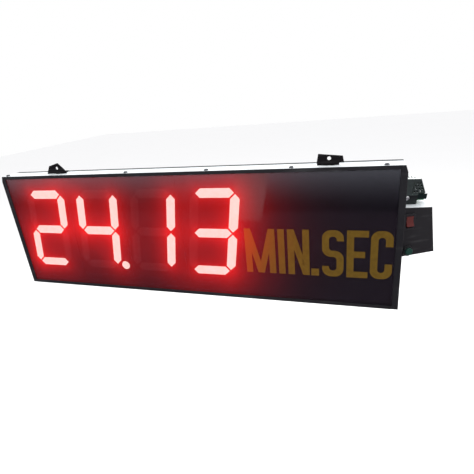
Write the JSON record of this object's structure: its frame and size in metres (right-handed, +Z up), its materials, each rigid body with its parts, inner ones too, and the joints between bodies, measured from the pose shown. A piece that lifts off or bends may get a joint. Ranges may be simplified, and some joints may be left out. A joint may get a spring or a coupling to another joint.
{
  "type": "round timer display",
  "caption": "Hanging LED round timer with red seven-segment minutes and seconds behind a smoked screen, rear switch console, caged supply and swivel hangers.",
  "frame": {"origin": "centre of the cabinet's underside", "axes": "+X along the cabinet to the viewer's right, +Y from the screen to the rear, +Z up"},
  "size_m": [0.6313, 0.0994, 0.2],
  "materials": {
    "frame_black": "satin black powder coat",
    "key_aluminium": "mill finish",
    "black_screws": "black oxide",
    "smoked_acrylic": "gloss smoked acrylic",
    "gasket_rubber": "foam",
    "amber_vinyl": "cut vinyl",
    "mask_black": "matt black",
    "shell_silver": "silver white powder coat",
    "cover_grey": "satin grey",
    "steel_screws": "zinc plated",
    "digit_housing": "matt dark red black",
    "lens_lit": "lit diffuser",
    "lens_dark": "unlit diffuser",
    "led_chip": "moulded",
    "circuit_board": "solder mask",
    "chip_black": "moulded",
    "cell_steel": "brushed",
    "brass_standoff": "turned",
    "ribbon_grey": "ribbed",
    "console_black": "satin black",
    "inlet_black": "moulded",
    "switch_black": "moulded",
    "rocker_red": "gloss red",
    "button_green": "gloss green",
    "zinc_tray": "galvanised",
    "zinc_cage": "galvanised, perforated",
    "psu_parts": "wound and moulded",
    "terminal_green": "moulded",
    "hanger_black": "satin black",
    "nylon_washer": "nylon"
  },
  "bodies": {
    "cabinet": {"frame_top_rail": "frame_black", "frame_bottom_rail": "frame_black", "frame_left_rail": "frame_black", "frame_right_rail": "frame_black", "frame_corner_keys": "key_aluminium", "frame_screws": "black_screws", "front_screen": "smoked_acrylic", "screen_gasket": "gasket_rubber", "screen_lettering": "amber_vinyl", "front_mask": "mask_black", "cabinet_shell": "shell_silver", "rear_cover": "cover_grey", "rear_cover_screws": "steel_screws", "digit_1_housing": "digit_housing", "digit_1_lit": "lens_lit", "digit_1_unlit": "lens_dark", "digit_2_housing": "digit_housing", "digit_2_lit": "lens_lit", "digit_2_unlit": "lens_dark", "digit_3_housing": "digit_housing", "digit_3_lit": "lens_lit", "digit_3_unlit": "lens_dark", "digit_4_housing": "digit_housing", "digit_4_lit": "lens_lit", "digit_4_unlit": "lens_dark", "decimal_point": "lens_lit", "segment_leds": "led_chip", "digit_boards": "circuit_board", "digit_rails": "key_aluminium", "digit_screws": "steel_screws", "rail_end_screws": "steel_screws", "driver_board": "circuit_board", "driver_chips": "chip_black", "backup_cell": "cell_steel", "board_standoffs": "brass_standoff", "ribbon_cable": "ribbon_grey", "ribbon_plugs": "chip_black", "console_body": "shell_silver", "console_face_plate": "console_black", "console_lid": "cover_grey", "console_screws": "steel_screws", "control_board": "circuit_board", "sounder": "chip_black", "power_inlet": "inlet_black", "rocker_housing": "switch_black", "button_bezel": "switch_black", "button_nut": "steel_screws", "psu_tray": "zinc_tray", "psu_cage": "zinc_cage", "psu_board": "circuit_board", "psu_parts": "psu_parts", "psu_terminal_block": "terminal_green", "psu_screws": "steel_screws", "hanger_bolts": "black_screws", "hanger_washers": "nylon_washer", "hanger_nuts": "steel_screws"},
    "rocker": {"rocker_paddle": "rocker_red"},
    "button": {"button_cap": "button_green"},
    "left_hanger_body": {"left_hanger": "hanger_black"},
    "right_hanger_body": {"right_hanger": "hanger_black"}
  },
  "joints": [
    {"name": "rocker_turn", "type": "hinge", "parent": "cabinet", "child": "rocker", "pos_m": [0.30113, 0.02741, 0.1036], "axis": [0.8829, 0.4695, 0], "range_deg": [0, 20]},
    {"name": "button_push", "type": "slide", "parent": "cabinet", "child": "button", "axis": [-0.4695, 0.8829, 0], "range_m": [0, 0.002], "stiffness_N_per_m": 300, "springref_m": -0.0015},
    {"name": "left_hanger_swivel", "type": "hinge", "parent": "cabinet", "child": "left_hanger_body", "pos_m": [-0.19, 0.002, 0.1845], "axis": [0, 0, 1], "range_deg": [-90, 90]},
    {"name": "right_hanger_swivel", "type": "hinge", "parent": "cabinet", "child": "right_hanger_body", "pos_m": [0.2065, 0.002, 0.1845], "axis": [0, 0, 1], "range_deg": [-90, 90]}
  ]
}
